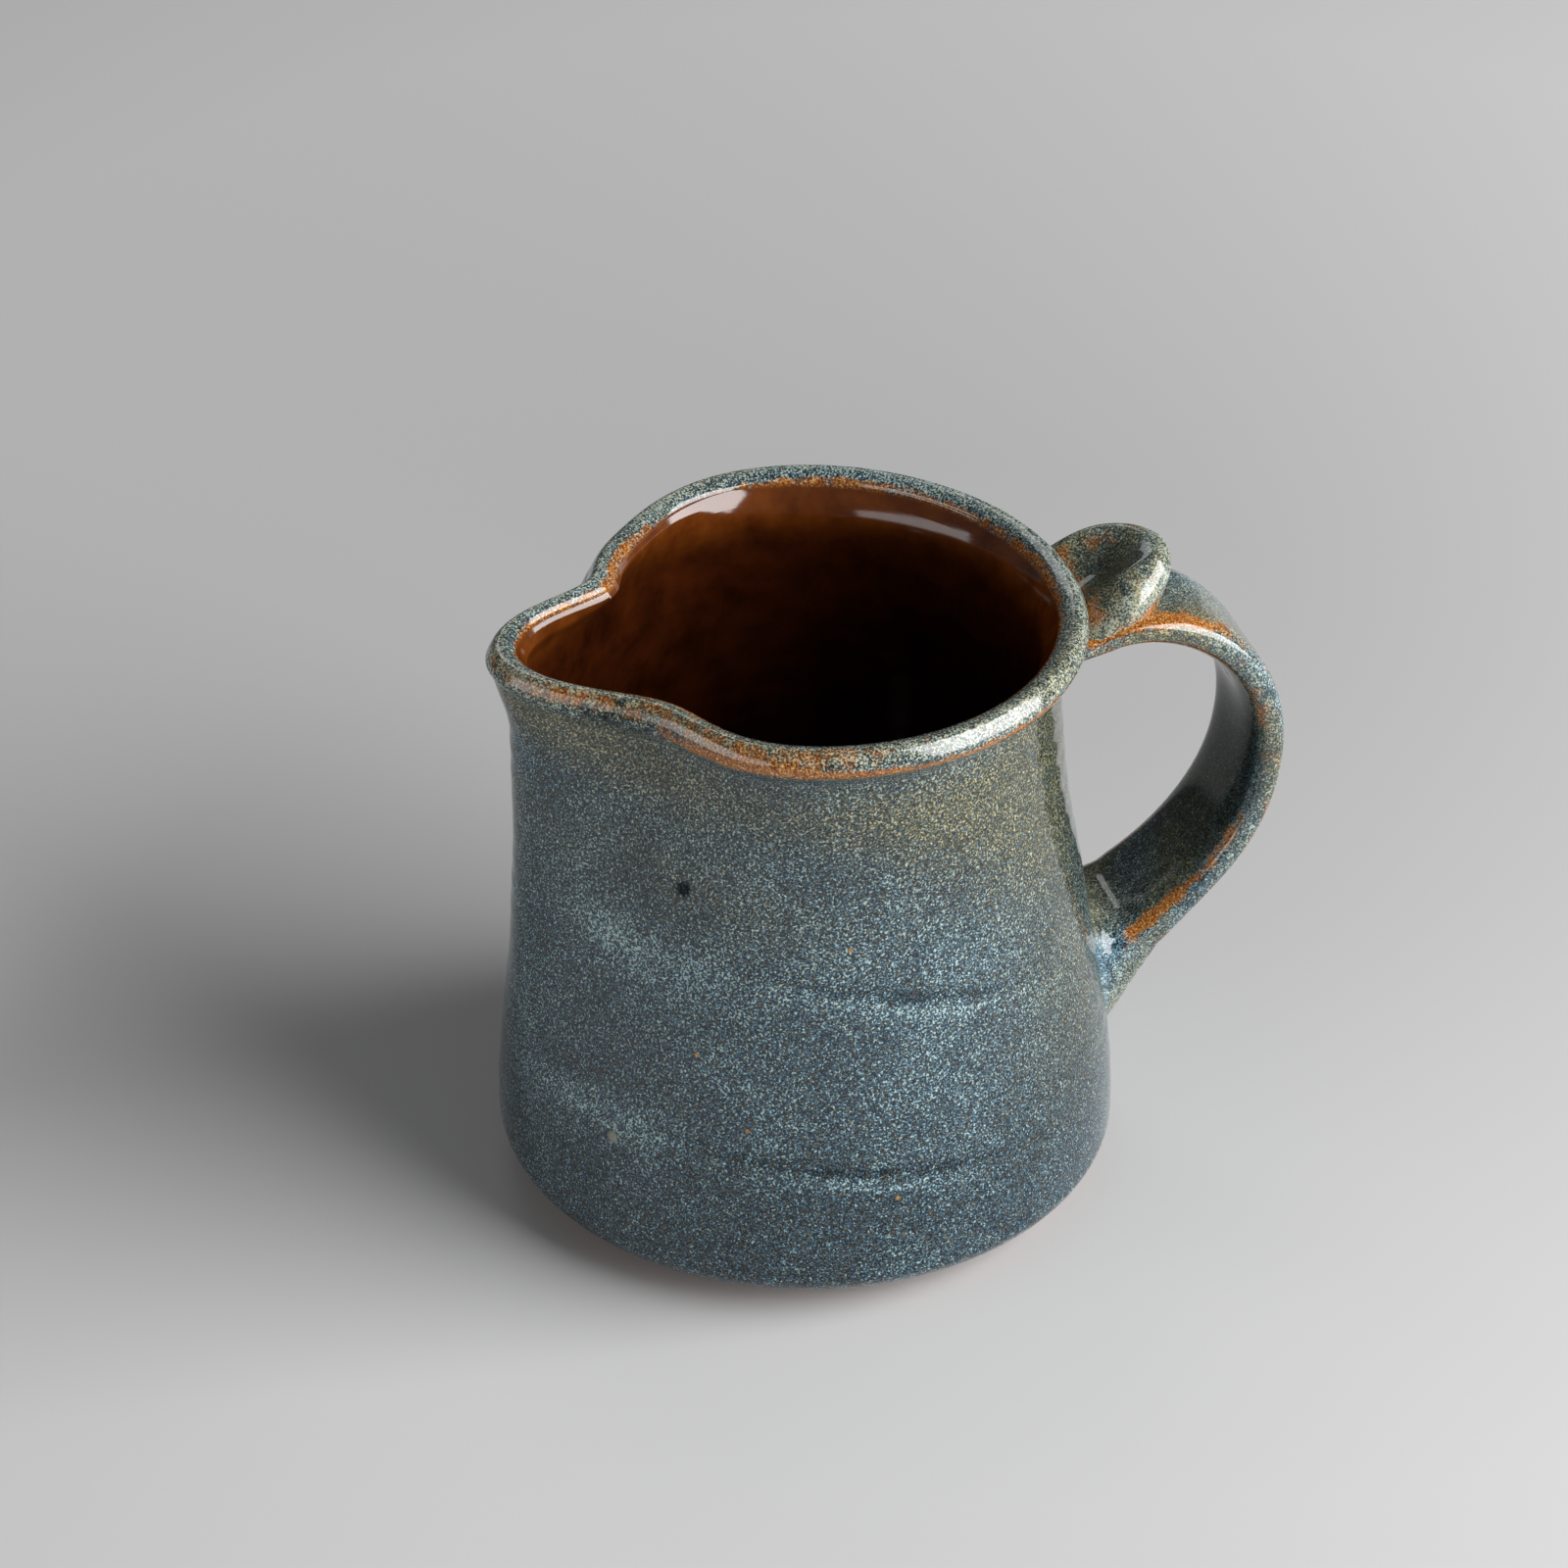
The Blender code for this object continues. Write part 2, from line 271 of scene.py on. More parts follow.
def linear(code: str) -> Colour:
    """Turns an sRGB hex colour into the linear colour that a shader takes.

    Args:
        code: The colour as a hash sign and six hex digits.

    Returns:
        Red, green and blue, with an alpha of one.
    """
    parts = [int(code[i : i + 2], 16) / 255 for i in (1, 3, 5)]
    parts = [p / 12.92 if p <= 0.04045 else ((p + 0.055) / 1.055) ** 2.4 for p in parts]
    return (*parts, 1.0)


class NodeMaterial:
    """A new node material, with one way to add a node and short names for the usual nodes."""

    def __init__(self, name: str) -> None:
        """Starts an empty material that knows the piece's own coordinates.

        Args:
            name: The material's name.
        """
        self.material = bpy.data.materials.new(name)
        self.material.use_nodes = True
        self.tree = self.material.node_tree
        self.tree.nodes.clear()
        self.place = self.add("ShaderNodeTexCoord").outputs["Object"]

    def add(self, kind: str, inputs: dict | None = None, **settings: object) -> bpy.types.Node:
        """Adds a shader node with its settings, values and links.

        Args:
            kind: Blender's name for the node.
            inputs: Socket name or number to a value, or to the output socket that feeds it.
            settings: The node's own properties.

        Returns:
            The node.
        """
        node = self.tree.nodes.new(kind)
        for key, value in settings.items():
            setattr(node, key, value)
        for key, value in (inputs or {}).items():
            self.feed(node.inputs[key], value)
        return node

    def feed(self, socket: Socket, value: object) -> None:
        """Gives a socket its value.

        Args:
            socket: The input socket.
            value: A constant for it, or the output socket that feeds it.
        """
        if isinstance(value, Socket):
            self.tree.links.new(value, socket)
        else:
            socket.default_value = value

    def mark(self, name: str) -> Socket:
        """One of the piece's marks, as a value."""
        return self.add("ShaderNodeAttribute", attribute_name=name).outputs["Fac"]

    def distance(self, place: Place) -> Socket:
        """How far the surface is from a place in the frame."""
        inputs = {0: self.place, 1: place}
        return self.add("ShaderNodeVectorMath", inputs, operation="DISTANCE").outputs["Value"]

    def noise(self, size_mm: float, detail: float, roughness: float = 0.6) -> Socket:
        """Adds a noise to the surface.

        Args:
            size_mm: About the width of its lumps.
            detail: How many finer layers it has.
            roughness: How strong the finer layers are.

        Returns:
            The noise's value, between zero and one.
        """
        inputs = {"Vector": self.place, "Scale": 1 / (size_mm * MM), "Detail": detail}
        inputs["Roughness"] = roughness
        return self.add("ShaderNodeTexNoise", inputs).outputs["Fac"]

    def remap(
        self,
        value: Socket,
        source: tuple[float, float],
        target: tuple[float, float] = (0.0, 1.0),
    ) -> Socket:
        """Carries a value from one range to another and holds it there.

        Args:
            value: The value.
            source: Two places in the value's own range.
            target: What they turn into.

        Returns:
            The new value.
        """
        names = ("From Min", "From Max", "To Min", "To Max")
        inputs = {"Value": value, **dict(zip(names, (*source, *target)))}
        return self.add("ShaderNodeMapRange", inputs).outputs["Result"]

    def times_plus(
        self, value: Socket, factor: Socket | float, addend: Socket | float, clamp: bool = False
    ) -> Socket:
        """Multiplies a value and adds to it.

        Args:
            value: The value.
            factor: What it is multiplied by.
            addend: What is added then.
            clamp: True if the result is held between zero and one.

        Returns:
            The new value.
        """
        inputs = {0: value, 1: factor, 2: addend}
        node = self.add("ShaderNodeMath", inputs, operation="MULTIPLY_ADD", use_clamp=clamp)
        return node.outputs["Value"]

    def ramp(self, value: Socket, stops: Stops) -> Socket:
        """Turns a value into a colour.

        Args:
            value: The value, between zero and one.
            stops: Places on the ramp with their colours.

        Returns:
            The colour.
        """
        node = self.add("ShaderNodeValToRGB", {"Fac": value})
        ramp = node.color_ramp
        while len(ramp.elements) < len(stops):
            ramp.elements.new(0.5)
        for element, (place, code) in zip(ramp.elements, stops):
            element.position = place
            element.color = linear(code)
        return node.outputs["Color"]

    def blend(self, share: Socket, first: Socket, second: Socket | Colour) -> Socket:
        """Mixes two colours.

        Args:
            share: The second colour's share, between zero and one.
            first: The colour where the share is zero.
            second: The colour where it is one.

        Returns:
            The mixed colour.
        """
        mix = self.add("ShaderNodeMix", data_type="RGBA")
        for key, value in (("Factor_Float", share), ("A_Color", first), ("B_Color", second)):
            self.feed(next(entry for entry in mix.inputs if entry.identifier == key), value)
        return next(entry for entry in mix.outputs if entry.identifier == "Result_Color")

    def bump(self, height: Socket, strength: float) -> Socket:
        """The normal of a surface that a value lifts by up to a fifth of a millimetre."""
        inputs = {"Height": height, "Strength": strength, "Distance": 0.2 * MM}
        return self.add("ShaderNodeBump", inputs).outputs["Normal"]

    def finish(self, inputs: dict) -> bpy.types.Material:
        """Ends the material in one principled surface.

        Args:
            inputs: The surface's socket names with their values.

        Returns:
            The finished material.
        """
        surface = self.add("ShaderNodeBsdfPrincipled", inputs)
        self.add("ShaderNodeOutputMaterial", {"Surface": surface.outputs["BSDF"]})
        return self.material


@dataclass(frozen=True)
class Spot:
    """A fleck of iron or ash in the glaze.

    It has a place in the frame, a radius and a colour.
    """

    place: Place
    radius: float
    code: str


@dataclass(frozen=True)
class Fleck:
    """A colour that shows where a noise passes from low to high, up to a share."""

    low: float
    high: float
    share: float
    code: str


FLECKS = (Fleck(0.57, 0.67, 0.42, "#7b7258"), Fleck(0.43, 0.34, 0.45, "#5f7f92"))


@dataclass(frozen=True)
class SpeckledGlaze:
    """Stoneware glaze over iron-bearing clay, fired glossy.

    It gives the eye a fine speckle of navy, grey-blue and cream, olive where the coat is thin, rust
    along edges where it breaks, and deep brown where it runs into the liner. The mark deep darkens
    it for a thick coat and for painted shade; there and on the single flecks it shines less.
    """

    name: str = "speckled_blue_stoneware_glaze"
    grain_mm: float = 0.35
    fleck_mm: float = 0.42
    patch_mm: float = 15.0
    rust_mm: float = 2.2
    blotch_mm: float = 1.6
    cloud_mm: float = 6.0
    tone_middle: float = 0.485
    tone_reach: float = 0.515
    contrast: float = 1.0
    patch_lift: float = 0.05
    pale_lift: tuple[float, float] = (0.04, 0.30)
    deep_lift: tuple[float, float] = (-0.34, -0.06)
    rust_sharp: float = 3.3
    rust_start: float = -2.4
    rust_gain: float = 2.75
    spot_cover: float = 0.85
    gloss: float = 0.5
    deep_gloss: float = -0.42
    spot_gloss: float = -0.5
    grain_relief: float = 0.02
    roughness: float = 0.09
    ior: float = 1.6

    def make(self, spots: list[Spot]) -> bpy.types.Material:
        """Builds the material from the piece's marks tan, pale, deep, breaks and amber.

        Args:
            spots: Single flecks at fixed places.

        Returns:
            The finished material.
        """
        nodes = NodeMaterial(self.name)
        grain = nodes.noise(self.grain_mm, 2.0)
        colour = self.coat(nodes, self.tone(nodes, grain))
        colour = self.marked(nodes, grain, colour)
        gloss = nodes.times_plus(nodes.mark("deep"), self.deep_gloss, self.gloss, True)
        for spot in spots:
            edge = (0.5 * spot.radius, spot.radius)
            near = nodes.remap(nodes.distance(spot.place), edge, (self.spot_cover, 0.0))
            colour = nodes.blend(near, colour, linear(spot.code))
            gloss = nodes.times_plus(near, self.spot_gloss, gloss, True)
        return nodes.finish(
            {
                "Base Color": colour,
                "Roughness": self.roughness,
                "IOR": self.ior,
                "Specular IOR Level": gloss,
                "Normal": nodes.bump(grain, self.grain_relief),
            }
        )

    def tone(self, nodes: NodeMaterial, grain: Socket) -> Socket:
        """Lifts and lowers the grain in soft patches and by the marks pale and deep.

        Args:
            nodes: The material.
            grain: The fine noise.

        Returns:
            The place on the colour ramps.
        """
        patch = nodes.noise(self.patch_mm, 4.0)
        lift = nodes.remap(patch, (0.3, 0.7), (-self.patch_lift, self.patch_lift))
        reach = self.tone_reach * self.contrast
        sharp = nodes.remap(grain, (0.2, 0.8), (self.tone_middle - reach, self.tone_middle + reach))
        total = nodes.times_plus(sharp, 1.0, lift)
        blotch = nodes.remap(nodes.noise(self.blotch_mm, 3.0), (0.3, 0.7))
        for mark, lifts in (("pale", self.pale_lift), ("deep", self.deep_lift)):
            share = nodes.remap(blotch, (0.0, 1.0), lifts)
            total = nodes.times_plus(nodes.mark(mark), share, total)
        return total

    def coat(self, nodes: NodeMaterial, tone: Socket) -> Socket:
        """Colours the coat blue, olive over the mark tan, with flecks of ochre and pale blue.

        Args:
            nodes: The material.
            tone: The place on the colour ramps.

        Returns:
            The colour.
        """
        blue, olive = (nodes.ramp(tone, stops) for stops in (BLUE_STOPS, OLIVE_STOPS))
        colour = nodes.blend(nodes.mark("tan"), blue, olive)
        noise = nodes.noise(self.fleck_mm, 1.0)
        for fleck in FLECKS:
            some = nodes.remap(noise, (fleck.low, fleck.high), (0.0, fleck.share))
            colour = nodes.blend(some, colour, linear(fleck.code))
        return colour

    def marked(self, nodes: NodeMaterial, grain: Socket, colour: Socket) -> Socket:
        """Lays rust in patches over the mark breaks and deep brown over the mark amber.

        Args:
            nodes: The material.
            grain: The fine noise, which shades the rust.
            colour: The coat's colour.

        Returns:
            The colour with its marks.
        """
        spread = nodes.times_plus(nodes.noise(self.rust_mm, 3.0), self.rust_sharp, self.rust_start)
        share = nodes.times_plus(nodes.mark("breaks"), self.rust_gain, spread, True)
        colour = nodes.blend(share, colour, nodes.ramp(grain, RUST_STOPS))
        brown = nodes.ramp(nodes.noise(self.cloud_mm, 5.0), BROWN_STOPS)
        return nodes.blend(nodes.mark("amber"), colour, brown)


@dataclass(frozen=True)
class AmberLiner:
    """An amber liner glaze, thick and glossy over brown clay.

    It gives the eye a deep brown glass that glows golden where it thins under the lip.
    """

    name: str = "amber_brown_liner_glaze"
    cloud_mm: float = 6.0
    roughness: float = 0.12
    ior: float = 1.52

    def make(self) -> bpy.types.Material:
        """Builds the material from the piece's mark amber, which is strongest just under the lip.

        Returns:
            The finished material.
        """
        nodes = NodeMaterial(self.name)
        cloud = nodes.noise(self.cloud_mm, 5.0)
        deep, thin = (nodes.ramp(cloud, stops) for stops in (LINER_DEEP_STOPS, LINER_THIN_STOPS))
        colour = nodes.blend(nodes.mark("amber"), deep, thin)
        return nodes.finish({"Base Color": colour, "Roughness": self.roughness, "IOR": self.ior})


@dataclass(frozen=True)
class BareClay:
    """Unglazed reddish-brown stoneware, matt, with the grit that the wheel leaves."""

    name: str = "bare_fired_stoneware"
    grit_mm: float = 0.8
    grit_roughness: float = 0.7
    grit_relief: float = 0.4
    roughness: float = 0.8

    def make(self) -> bpy.types.Material:
        """Builds the material: a brown clay with fine grit in its colour and its surface.

        Returns:
            The finished material.
        """
        nodes = NodeMaterial(self.name)
        grit = nodes.noise(self.grit_mm, 4.0, self.grit_roughness)
        colour, normal = nodes.ramp(grit, CLAY_STOPS), nodes.bump(grit, self.grit_relief)
        return nodes.finish({"Base Color": colour, "Roughness": self.roughness, "Normal": normal})


# The thrown form

# Single flecks outside: direction in degrees, height and radius in millimetres, and colour
SPOTS = (
    (225.1, 71.3, 1.7, "#0c1219"),
    (214.6, 26.5, 1.2, "#8f9080"),
    (242.0, 34.0, 0.45, "#a07038"),
    (270.0, 22.0, 0.45, "#a98448"),
    (262.0, 64.0, 0.5, "#a8742f"),
    (231.0, 45.0, 0.5, "#b0854a"),
)


@dataclass(frozen=True)
class Notch:
    """A dent that a finger left beside the spout.

    It has a turn from the spout, a depth, an angular spread and the height over which it fades.
    """

    turn: float
    depth: float
    spread: float
    drop: float


@dataclass
class ThrownForm:
    """The glazed wall's shape: a turned line, pulled into a spout by the potter's fingers.

    The lip eases into the wall over lip_fade, and the wall is thinner by neck_thin round neck_depth
    under the lip. The brow is a soft swelling below the spout's lip.
    """

    height: float = 100.0 * MM
    foot_radius: float = 36.6 * MM
    belly_radius: float = 49.3 * MM
    belly_height: float = 8.4 * MM
    heel_sweep: float = math.radians(46.6)
    neck_radius: float = 38.4 * MM
    neck_height: float = 92.0 * MM
    belly_leave: float = 23.4 * MM
    neck_arrive: float = 30.1 * MM
    rim_radius: float = 39.64 * MM
    lip: float = 2.5 * MM
    lip_flat: float = 0.36
    lip_tilt: float = math.radians(28)
    lip_fade: float = 4.0 * MM
    lip_clear: float = 0.2 * MM
    wall: float = 3.9 * MM
    neck_thin: float = 0.6 * MM
    neck_depth: float = 4.0 * MM
    neck_spread: float = 3.5 * MM
    flare: float = math.radians(35)
    floor: float = 6.8 * MM
    floor_fillet: float = 8.0 * MM
    oval: float = 1.47 * MM
    oval_power: int = 4
    throat_radius: float = 46.64 * MM
    throat_ease: float = 3.06 * MM
    throat_rise: float = 4.0
    tip_radius: float = 51.7 * MM
    tip_depth: float = 15.0 * MM
    tip_curve: float = 1.8
    spout_spread: float = math.radians(20)
    notches: tuple[Notch, ...] = (
        Notch(math.radians(-47.5), 6.5 * MM, math.radians(29.6), 6.0 * MM),
        Notch(math.radians(-24.6), 5.7 * MM, math.radians(13.2), 6.0 * MM),
        Notch(math.radians(36.8), 4.5 * MM, math.radians(17.9), 15.0 * MM),
    )
    brow: float = 1.6 * MM
    brow_turn: float = math.radians(14)
    brow_spread: float = math.radians(40)
    brow_drop: float = 12.0 * MM
    brow_top: float = 5.0 * MM
    ridge: float = 0.05 * MM
    ridge_pitch: float = 5.2 * MM
    ridge_patch: float = 9.0 * MM
    ridge_seed: int = 3
    lump: float = 0.12 * MM
    lump_size: float = 14.0 * MM
    lump_seed: int = 5
    uneven_from: tuple[float, float] = (4.0 * MM, 16.0 * MM)
    uneven_to: tuple[float, float] = (84.0 * MM, 94.0 * MM)
    axis_fade: float = 10.0 * MM
    heel_rows: int = 24
    wall_rows: int = 150
    flare_rows: int = 24
    lip_rows: int = 30
    fillet_rows: int = 16
    columns: int = 288
    outside: Array = field(init=False)

    def __post_init__(self) -> None:
        """Works out the outside line once, because the spout is measured from it."""
        self.outside = self.outer_line()

    def outer_line(self) -> Array:
        """Draws the outside from the foot to the lip: the heel's arc, the wall and the flare.

        Returns:
            (radius, height) points.
        """
        rise = self.belly_height / math.sin(self.heel_sweep)
        reach = (self.belly_radius - self.foot_radius) / (1 - math.cos(self.heel_sweep))
        turn = np.linspace(self.heel_sweep, 0.0, self.heel_rows)
        heel = np.stack(
            [self.belly_radius - reach * (1 - np.cos(turn)), self.belly_height - rise * np.sin(turn)],
            axis=1,
        )
        wall = bezier(
            [
                (self.belly_radius, self.belly_height),
                (self.belly_radius, self.belly_height + self.belly_leave),
                (self.neck_radius, self.neck_height - self.neck_arrive),
                (self.neck_radius, self.neck_height),
            ],
            self.wall_rows,
        )
        up = np.array([math.sin(self.flare), math.cos(self.flare)])
        end = self.lip_centre() + self.lip * np.array([up[1], -up[0]])
        neck = np.array([self.neck_radius, self.neck_height])
        third = np.linalg.norm(end - neck) / 3
        flare = bezier([neck, neck + (0, third), end - up * third, end], self.flare_rows)
        return np.concatenate([heel, wall[1:], flare[1:]])

    def lip_centre(self) -> Array:
        """The middle of the lip's round, as (radius, height)."""
        return np.array([self.rim_radius, self.height - self.lip])

    def lip_line(self) -> Array:
        """Draws the lip from its outer to its inner side: a half round, flattened outside and on top.

        Returns:
            (radius, height) points.
        """
        turn = np.linspace(-self.flare, math.pi - self.flare, self.lip_rows)[1:]
        power = 1 - self.lip_flat * np.sin(turn + self.flare) ** 2
        circle = (np.cos(turn - self.lip_tilt), np.sin(turn - self.lip_tilt))
        out, up = (np.sign(side) * np.abs(side) ** power for side in circle)
        cos_t, sin_t = math.cos(self.lip_tilt), math.sin(self.lip_tilt)
        square = np.stack([out * cos_t - up * sin_t, out * sin_t + up * cos_t], axis=1)
        return self.lip_centre() + self.lip * square

    def inner_line(self) -> Array:
        """Draws the inside from the lip to the floor's middle.

        It is the outside less the wall, which thins at the neck, and then a fillet and the flat floor.

        Returns:
            (radius, height) points.
        """
        depth = self.outside[-1, 1] - self.outside[:, 1:]
        neck = self.neck_thin * bell(depth - self.neck_depth, self.neck_spread)
        less = self.wall - neck - 2 * self.lip
        thick = 2 * self.lip + less * smooth_step(0.0, self.lip_fade, depth)
        inside = (self.outside - thick * line_normals(self.outside))[::-1]
        inside = inside[inside[:, 1] < self.lip_line()[-1, 1] - self.lip_clear]
        start = self.floor + self.floor_fillet
        wall = inside[inside[:, 1] > start]
        turn = np.linspace(0.0, math.pi / 2, self.fillet_rows)
        corner = np.array([wall[-1, 0] - self.floor_fillet, start])
        fillet = corner + self.floor_fillet * np.stack([np.cos(turn), -np.sin(turn)], axis=1)
        flat = np.array([[share * corner[0], self.floor] for share in (0.5, POLE_SHARE)])
        return np.concatenate([wall, fillet, flat])

    def radius_at(self, height: Array) -> Array:
        """The turned line's radius at a height, before the spout is pulled."""
        return np.interp(height, self.outside[:, 1], self.outside[:, 0])

    def pull(self, angle: Array, height: Array) -> Array:
        """How far the wall is moved outwards: the spout, less the notches, plus the brow and the oval.

        Args:
            angle: Angles round the axis.
            height: Heights, in a shape that broadcasts with the angles.

        Returns:
            Radial moves in metres.
        """
        away = np.mod(angle, math.tau) - math.pi
        height = np.minimum(height, self.height - self.lip)
        climb = np.maximum(height - self.belly_height, 0) / (self.height - self.belly_height)
        tip = np.maximum(height - self.height + self.tip_depth, 0) / self.tip_depth
        throat = self.throat_radius + (self.tip_radius - self.throat_radius) * tip**self.tip_curve
        short = throat - self.radius_at(height)
        soft = (short + np.hypot(short, self.throat_ease)) / 2 * np.minimum(climb * self.throat_rise, 1)
        total = soft * bell(away, self.spout_spread)
        drop = self.height - height
        for notch in self.notches:
            total = total - notch.depth * bell(drop, notch.drop) * bell(away - notch.turn, notch.spread)
        swell = bell(drop, self.brow_drop) - bell(drop, self.brow_top)
        total = total + self.brow * swell * bell(away - self.brow_turn, self.brow_spread)
        return total + self.oval * np.sin(away) ** 2 * climb**self.oval_power

    def unevenness(self, angle: Array, height: Array) -> Array:
        """Throwing ridges on a spiral and the slight lumps of a hand-made wall.

        Args:
            angle: Angles round the axis.
            height: Heights, in a shape that broadcasts with the angles.

        Returns:
            Radial moves in metres.
        """
        turns = math.tau * height / self.ridge_pitch + angle
        soft = 0.6 + 0.4 * wave_noise(angle, height / self.ridge_patch, self.ridge_seed)
        fade = smooth_step(*self.uneven_from, height) * (1 - smooth_step(*self.uneven_to, height))
        lumps = self.lump * wave_noise(angle, height / self.lump_size, self.lump_seed)
        return (self.ridge * np.sin(turns) * soft + lumps) * fade

    def turned(self, line: Array, rough: float = 1.0) -> Array:
        """Turns a line into rings, with the spout pulled and the wall uneven.

        Args:
            line: (radius, height) points.
            rough: Share of the unevenness.

        Returns:
            Ring points as (rows, columns, 3).
        """
        angle = round_angles(self.columns)
        height = np.broadcast_to(line[:, 1:], (len(line), self.columns))
        on_axis = np.clip(line[:, :1] / self.axis_fade, 0, 1)
        move = self.pull(angle, height) + rough * self.unevenness(angle, height)
        radius = line[:, :1] + move * on_axis
        return np.stack([radius * np.cos(angle), radius * np.sin(angle), height], axis=-1)

    def spot(self, degrees: float, height: float, radius: float, code: str) -> Spot:
        """Places a fleck on the outside.

        Args:
            degrees: Its direction from the axis.
            height: Its height in millimetres.
            radius: Its radius in millimetres.
            code: Its colour.

        Returns:
            The fleck, in the frame.
        """
        turn, z = math.radians(degrees), height * MM
        reach = float(self.radius_at(z) + self.pull(np.array(turn), np.array(z)))
        return Spot((reach * math.cos(turn), reach * math.sin(turn), z), radius * MM, code)

    def on_wall(self, y: Array, z: Array, clearance: float) -> Array:
        """Finds points on the handle side that stand off the glazed wall.

        Args:
            y: Their places across.
            z: Their heights.
            clearance: How far they stand off.

        Returns:
            Array of (points, 3).
        """
        radius = self.radius_at(z)
        angle = np.arcsin(y / radius)
        radius = radius + self.pull(angle, z) + clearance
        return np.stack([radius * np.cos(angle), radius * np.sin(angle), z], axis=-1)


class Side(Enum):
    """Places round the wall: a direction and a spread, in degrees round from the handle."""

    CREAM = (195, 17)
    PLAIN_EDGE = (206, 20)
    MOTTLE = (207, 13)
    OLIVE_LIP = (222, 36)
    DULL_LIP = (238, 45)
    WORN_LIP = (242, 32)
    RUN = (255.5, 2.2)
    RUSTY_EDGE = (268, 50)
    OLIVE_NECK = (305, 34)
    OLIVE_SIDE = (322, 22)
    # The right edge, where painted shade darkens the wall.
    SHADED_RIGHT_EDGE = (322, 20)


class Drift(Enum):
    """Unevennesses of the coat: a seed and the height of their lumps in millimetres."""

    AMBER_EDGE = (11, 5)
    OLIVE_PATCHES = (17, 11)
    RUST = (31, 3)
    LOWER_EDGE = (37, 4)
    INNER_EDGE = (41, 4)
    WORN_LIP = (47, 3)


@dataclass(frozen=True)
class Band:
    """A thin level band on the wall, in degrees and millimetres.

    It runs through a turn at a height, climbs by the slope in millimetres a degree, has a half
    height, and fades over the spread on both sides of its middle.
    """

    turn: float
    height: float
    slope: float
    half: float
    middle: float
    spread: float


WIPED_BANDS = (Band(214, 59.5, -0.06, 4.2, 213, 17), Band(214, 29.5, 0.03, 4.5, 213, 21))
LINE_CRESTS = (Band(275, 52.5, -0.17, 1.6, 275, 26), Band(264, 25.0, -0.1, 1.5, 264, 24))
LINE_GROOVES = (Band(275, 54.7, -0.17, 1.2, 275, 28), Band(264, 27.0, -0.1, 1.2, 264, 26))


